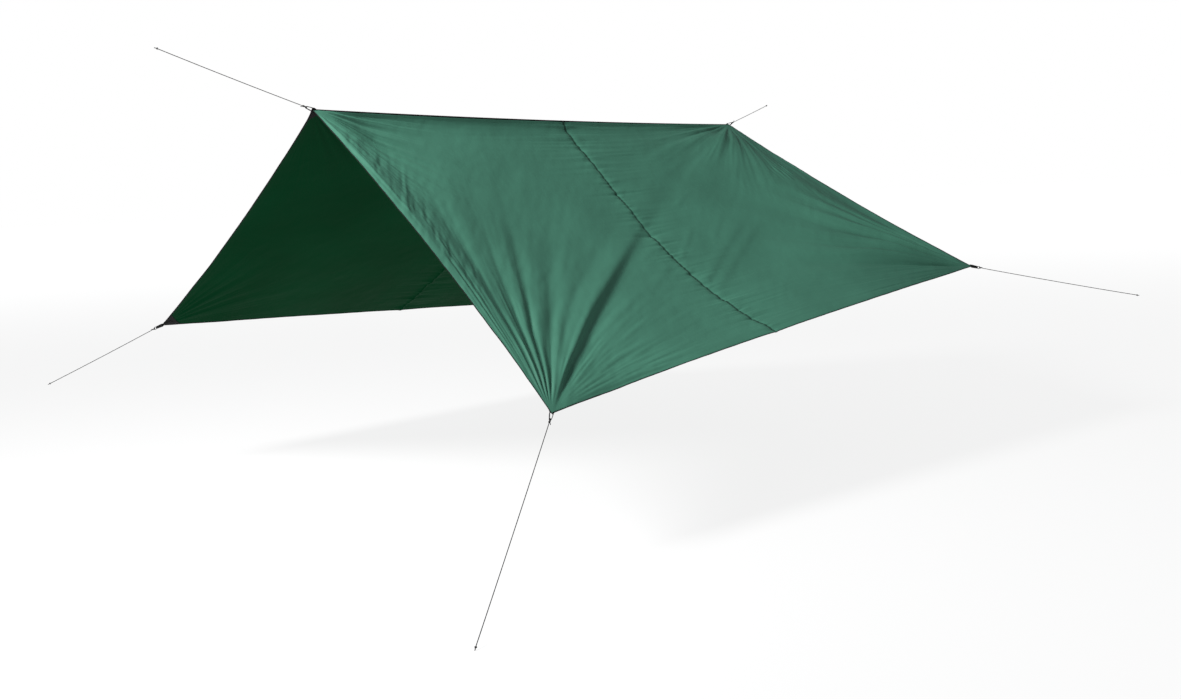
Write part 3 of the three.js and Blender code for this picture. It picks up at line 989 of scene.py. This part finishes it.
def ridge_tape_profile():
    """Tape folded over the ridge: (across, up) from the top of the fold, near side first."""
    ends = []
    for side in (NEAR, FAR):
        slope = surface_frame(smooth_cloth, side, np.array(RIDGE_LENGTH / 2), np.array(0.004))[1]
        ends.append(RIDGE_TAPE_FLAP * slope[[0, 2]])
    near, far = ends
    t = RIDGE_TAPE_THICKNESS
    top = [near + (0, 1.3 * t), (0.001, 1.5 * t), (-0.001, 1.5 * t), far + (0, 1.3 * t)]
    return np.array([*top, far - (0, t), (0, -t), near - (0, t)])


def add_ridge_tape():
    """The tape over the whole ridge, folded onto both sides; its stitching is not drawn."""
    along = np.arange(0, RIDGE_LENGTH + 0.001, 0.01)
    centres = smooth_cloth(NEAR, along, np.zeros_like(along))
    across = np.broadcast_to((1.0, 0.0, 0.0), centres.shape)
    upright = np.broadcast_to((0.0, 0.0, 1.0), centres.shape)
    profile = ridge_tape_profile()
    points, faces = sweep(centres, across, upright, profile)
    uvs = strip_uvs(centres, len(profile))
    piece = make_piece("ridge_tape_strip", points, faces, [black_tape], "tape", uvs)
    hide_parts("ridge_tape")
    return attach(facing_out(piece), "ridge")


# ---- webbing loops ----

def corner_axes(side, end):
    """A corner of the cloth, and directions outwards in it, across that, and out of the cloth."""
    corner = side[end]
    front = end == "front"
    along = np.array(0.0 if front else RIDGE_LENGTH)
    axis = surface_frame(smooth_cloth, side, along, np.array(SLOPE_LENGTH), 0.001)[2]
    pull = unit(corner - (RIDGE_FRONT if front else RIDGE_REAR))
    pull = pull + unit(corner - side["rear" if front else "front"])
    pull = unit(pull - axis * (pull @ axis))
    return corner, (pull, np.cross(axis, pull), axis)


def ridge_axes(end):
    """An end of the ridge, and directions along its line's pull, across that, and level."""
    corner = RIDGE_FRONT if end == "front" else RIDGE_REAR
    pull = end_of(f"{end}_ridge") - corner
    pull[0] = 0
    pull, axis = unit(pull), np.array((1.0, 0.0, 0.0))
    return corner, (pull, np.cross(axis, pull), axis)


ANCHORS = {
    "front_ridge": ridge_axes("front"),
    "rear_ridge": ridge_axes("rear"),
    "near_front": corner_axes(NEAR, "front"),
    "near_rear": corner_axes(NEAR, "rear"),
    "far_front": corner_axes(FAR, "front"),
    "far_rear": corner_axes(FAR, "rear"),
}


def loop_route(tail):
    """Half of a loop in its own axes: under the cloth, past its edge and round half of the eye."""
    middle = EYE_RADIUS + WEBBING_THICKNESS / 2
    sewn = [(-tail, 0.0054, -0.0024), (-tail / 2, 0.0054, -0.0024), (-0.014, 0.0058, -0.0022)]
    leg = [(-0.004, 0.0070, -0.0008), (0.003, 0.0069, 0), (0.014, 0.0056, 0)]
    turn = np.linspace(0.5 * math.pi, 0, 7)
    eye = [(EYE_REACH + middle * math.cos(k), middle * math.sin(k), 0) for k in turn]
    return np.array(sewn + leg + eye)


def loop_ribbon(origin, axes, tail):
    """Webbing that lies flat where it is sewn and stands on edge round the eye."""
    half = resample(loop_route(tail), 0.0012)
    mirrored = half[::-1][1:] * (1, -1, 1)
    route = np.concatenate([half, mirrored])
    tangents = unit(np.gradient(route, axis=0))
    twist = smooth((route[:, 0] + 0.014) / 0.014) * math.pi / 2
    sideways = np.where(np.arange(len(route)) < len(half), 1.0, -1.0)
    wide = np.stack([0 * twist, np.cos(twist) * sideways, np.sin(twist)], -1)
    wide = unit(wide - tangents * (wide * tangents).sum(-1, keepdims=True))
    thin = np.cross(tangents, wide)
    w, t = WEBBING_WIDTH / 2, WEBBING_THICKNESS / 2
    profile = [(-w, -0.4 * t), (-w + 0.0006, -t), (w - 0.0006, -t), (w, -0.4 * t)]
    profile += [(-x, -z) for x, z in profile]
    rotate = np.array(axes)
    points, faces = sweep(origin + route @ rotate, wide @ rotate, thin @ rotate, profile)
    return points, faces, strip_uvs(origin + route @ rotate, len(profile))


def bartack(origin, axes, x):
    """Dense zigzag stitching across the webbing."""
    turns = 26
    onward = x + 0.0011 * (-1.0) ** np.arange(turns)
    sideways = np.linspace(-0.0095, 0.0095, turns)
    zigzag = np.stack([onward, sideways, np.full(turns, BARTACK_DEPTH)], -1)
    path = resample(in_axes(origin, axes, zigzag), 0.0007)
    _, across, upright = path_frames(path)
    angle = np.linspace(0, 2 * math.pi, 5, endpoint=False)
    return sweep(path, across, upright, 0.0003 * np.stack([np.cos(angle), np.sin(angle)], -1))


def add_loop(name, body, tail, bars):
    """A webbing loop and the bartacks that hold its tails, at the places in `bars`."""
    origin, axes = ANCHORS[name]
    points, faces, uvs = loop_ribbon(origin, axes, tail)
    piece = make_piece(f"{name}_webbing", points, faces, [black_tape], "tape", uvs)
    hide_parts(f"{name}_loop")
    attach(facing_out(piece), body)
    rows = [bartack(origin, axes, x) for x in bars]
    stitching = make_piece(f"{name}_bartacks", *merged(rows), [black_thread], "tape")
    return [piece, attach(facing_out(stitching), body)]


# ---- surroundings ----

KEY_PLACE = (-0.5, -2.5, 2.6)
KEY_TARGET = (0.7, 1.1, -0.5)
KEY_SIZE = 1.5
KEY_POWER = 440
FILL_STRENGTH = 0.24
FLOOR_ALBEDO = 0.12  # low, and made up for by a glow, so that the lamp doesn't burn it out
FLOOR_GLOW = 0.86
FAR_FLOOR_GLOW = 0.98
FLOOR_GLOW_SPAN = (3, 22)  # metres from the origin, between the two glows
FLOOR_DROP = 0.004  # below the lowest line end


def floor_material():
    """Plain and pale near the shelter, and as white as the world far away."""
    color = (FLOOR_ALBEDO, FLOOR_ALBEDO, FLOOR_ALBEDO, 1)
    material, nodes, links, shader = start_material("pale_floor", color, 0.9, 0)
    distance = nodes.new("ShaderNodeVectorMath")
    distance.operation = "LENGTH"
    glow = nodes.new("ShaderNodeMapRange")
    glow.interpolation_type = "SMOOTHSTEP"
    glow.inputs["From Min"].default_value, glow.inputs["From Max"].default_value = FLOOR_GLOW_SPAN
    glow.inputs["To Min"].default_value = FLOOR_GLOW
    glow.inputs["To Max"].default_value = FAR_FLOOR_GLOW
    shader.inputs["Emission Color"].default_value = (1, 1, 1, 1)
    links.new(object_places(nodes), distance.inputs[0])
    links.new(distance.outputs["Value"], glow.inputs["Value"])
    links.new(glow.outputs["Result"], shader.inputs["Emission Strength"])
    return material


def add_floor():
    """A wide floor just below the lowest line end."""
    half, height = 200.0, cad_bounds[0][2] - FLOOR_DROP
    corners = [(x * half, y * half, height) for x, y in ((-1, -1), (1, -1), (1, 1), (-1, 1))]
    mesh = bpy.data.meshes.new("floor")
    mesh.from_pydata(corners, [], [(0, 1, 2, 3)])
    mesh.materials.append(floor_material())
    floor = bpy.data.objects.new("floor", mesh)
    bpy.context.scene.collection.objects.link(floor)


def add_area_light(name, place, target, size, power):
    """A round lamp aimed at a target."""
    light = bpy.data.lights.new(name, "AREA")
    light.shape = "DISK"
    light.size = size
    light.energy = power
    lamp = bpy.data.objects.new(name, light)
    lamp.location = place
    aim = Vector(target) - Vector(place)
    lamp.rotation_mode = "QUATERNION"
    lamp.rotation_quaternion = aim.to_track_quat("-Z", "Y")
    bpy.context.scene.collection.objects.link(lamp)


def add_world():
    """Soft light from all round. It looks white, and lights the shelter less than it shows."""
    world = bpy.data.worlds.new("studio")
    world.use_nodes = True
    nodes, links = world.node_tree.nodes, world.node_tree.links
    shown, output = nodes["Background"], nodes["World Output"]
    shown.inputs["Color"].default_value = (1, 1, 1, 1)
    shown.inputs["Strength"].default_value = 1.0
    fill = nodes.new("ShaderNodeBackground")
    fill.inputs["Color"].default_value = (0.93, 0.97, 1, 1)
    fill.inputs["Strength"].default_value = FILL_STRENGTH
    mix = nodes.new("ShaderNodeMixShader")
    links.new(nodes.new("ShaderNodeLightPath").outputs["Is Camera Ray"], mix.inputs["Fac"])
    links.new(fill.outputs["Background"], mix.inputs[1])
    links.new(shown.outputs["Background"], mix.inputs[2])
    links.new(mix.outputs["Shader"], output.inputs["Surface"])
    bpy.context.scene.world = world


def add_light():
    """A large soft lamp high at the front left, and the world."""
    add_world()
    add_area_light("key", KEY_PLACE, KEY_TARGET, KEY_SIZE, KEY_POWER)
    bpy.context.scene.view_settings.view_transform = "Standard"


# ---- the shelter ----

def add_trim(side):
    """Everything sewn on one side of the canopy."""
    name = side["name"]
    trim = add_seam(side)
    for edge in ("eave", "front", "rear"):
        trim += add_binding(side, edge)
    for end in ("front", "rear"):
        trim += add_patch(side, end, at_ridge=False)
        trim += add_patch(side, end, at_ridge=True)
        trim += add_loop(f"{name}_{end}", f"{name}_side", CORNER_TAIL, (-0.020, -0.048))
    return trim


add_camera()
for line in LINES:
    add_line(line)
for each_side in (NEAR, FAR):
    sewn_on = add_trim(each_side)
    add_canopy(each_side)
add_ridge_tape()
for each_end in ("front", "rear"):
    add_loop(f"{each_end}_ridge", "ridge", RIDGE_TAIL, (-0.010,))
add_floor()
add_light()
